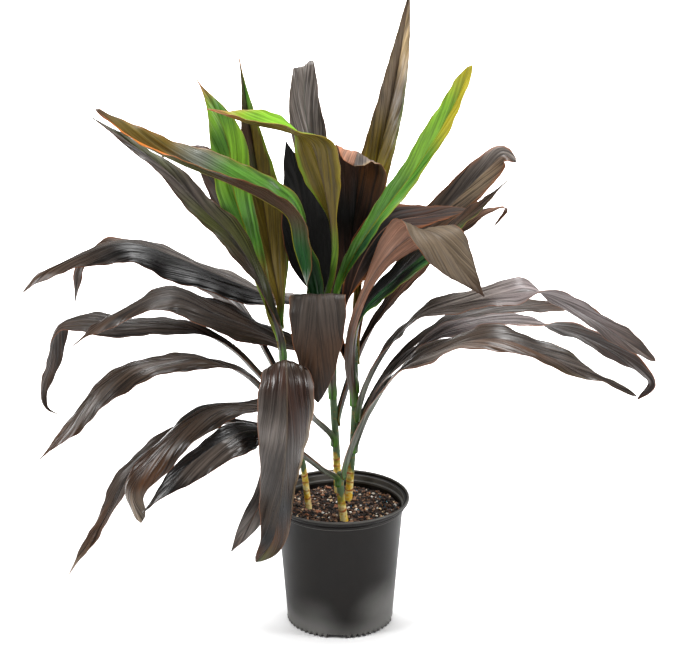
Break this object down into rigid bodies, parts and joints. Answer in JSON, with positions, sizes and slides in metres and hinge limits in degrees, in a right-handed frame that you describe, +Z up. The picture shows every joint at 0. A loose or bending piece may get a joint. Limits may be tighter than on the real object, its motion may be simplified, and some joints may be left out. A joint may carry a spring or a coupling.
{
  "type": "potted ti plant",
  "caption": "Potted ti plant: ringed canes in bark mix carry long arching, folded and hanging pleated leaves above a plain tapered nursery pot.",
  "frame": {"origin": "middle of the pot's base, on the surface that the pot stands on", "axes": "+Z up along the pot's axis, +X to the plant's right, -Y to its front"},
  "size_m": [1.0399, 0.4542, 1.0251],
  "materials": {
    "pot": "satin black",
    "soil": "dark bark mix with perlite and fertiliser prills",
    "cane": "yellow-cream, ringed with brown leaf scars",
    "leaf_green": "satin green with copper edges",
    "leaf_lime": "satin young green",
    "leaf_olive": "satin olive with green edges",
    "leaf_striped": "glossy dark green with a lighter edge",
    "leaf_grey": "glossy grey-brown",
    "leaf_brown": "satin maroon-brown",
    "leaf_pink": "satin pinkish-brown underside",
    "leaf_bronze": "glossy dark bronze",
    "leaf_black": "glossy near black"
  },
  "bodies": {
    "root": {"pot": "pot", "soil": "soil", "cane_left": "cane", "cane_front": "cane", "cane_right": "cane", "cane_back": "cane", "leaf_left_long": "leaf_green", "leaf_left_grey": "leaf_grey", "leaf_left_hump": "leaf_bronze", "leaf_left_green": "leaf_lime", "leaf_left_spear": "leaf_olive", "leaf_mid_arch": "leaf_lime", "leaf_back_broad": "leaf_grey", "leaf_mid_dark": "leaf_black", "leaf_mid_brown": "leaf_brown", "leaf_back_tall": "leaf_olive", "leaf_right_green": "leaf_lime", "leaf_right_brown": "leaf_brown", "leaf_right_hook": "leaf_bronze", "leaf_right_folded": "leaf_pink", "leaf_right_striped": "leaf_striped", "leaf_right_slim": "leaf_grey", "leaf_right_arch": "leaf_grey", "leaf_right_rear": "leaf_brown", "leaf_right_ribbon": "leaf_grey", "leaf_right_low": "leaf_bronze", "leaf_left_upper": "leaf_black", "leaf_left_rear": "leaf_brown", "leaf_left_broad": "leaf_grey", "leaf_left_curl": "leaf_bronze", "leaf_left_blade": "leaf_brown", "leaf_low_hooked": "leaf_bronze", "leaf_low_trailing": "leaf_brown", "leaf_low_glossy": "leaf_black", "leaf_front_broad": "leaf_brown", "leaf_front_upper": "leaf_brown", "leaf_front_slip": "leaf_grey"}
  },
  "joints": []
}
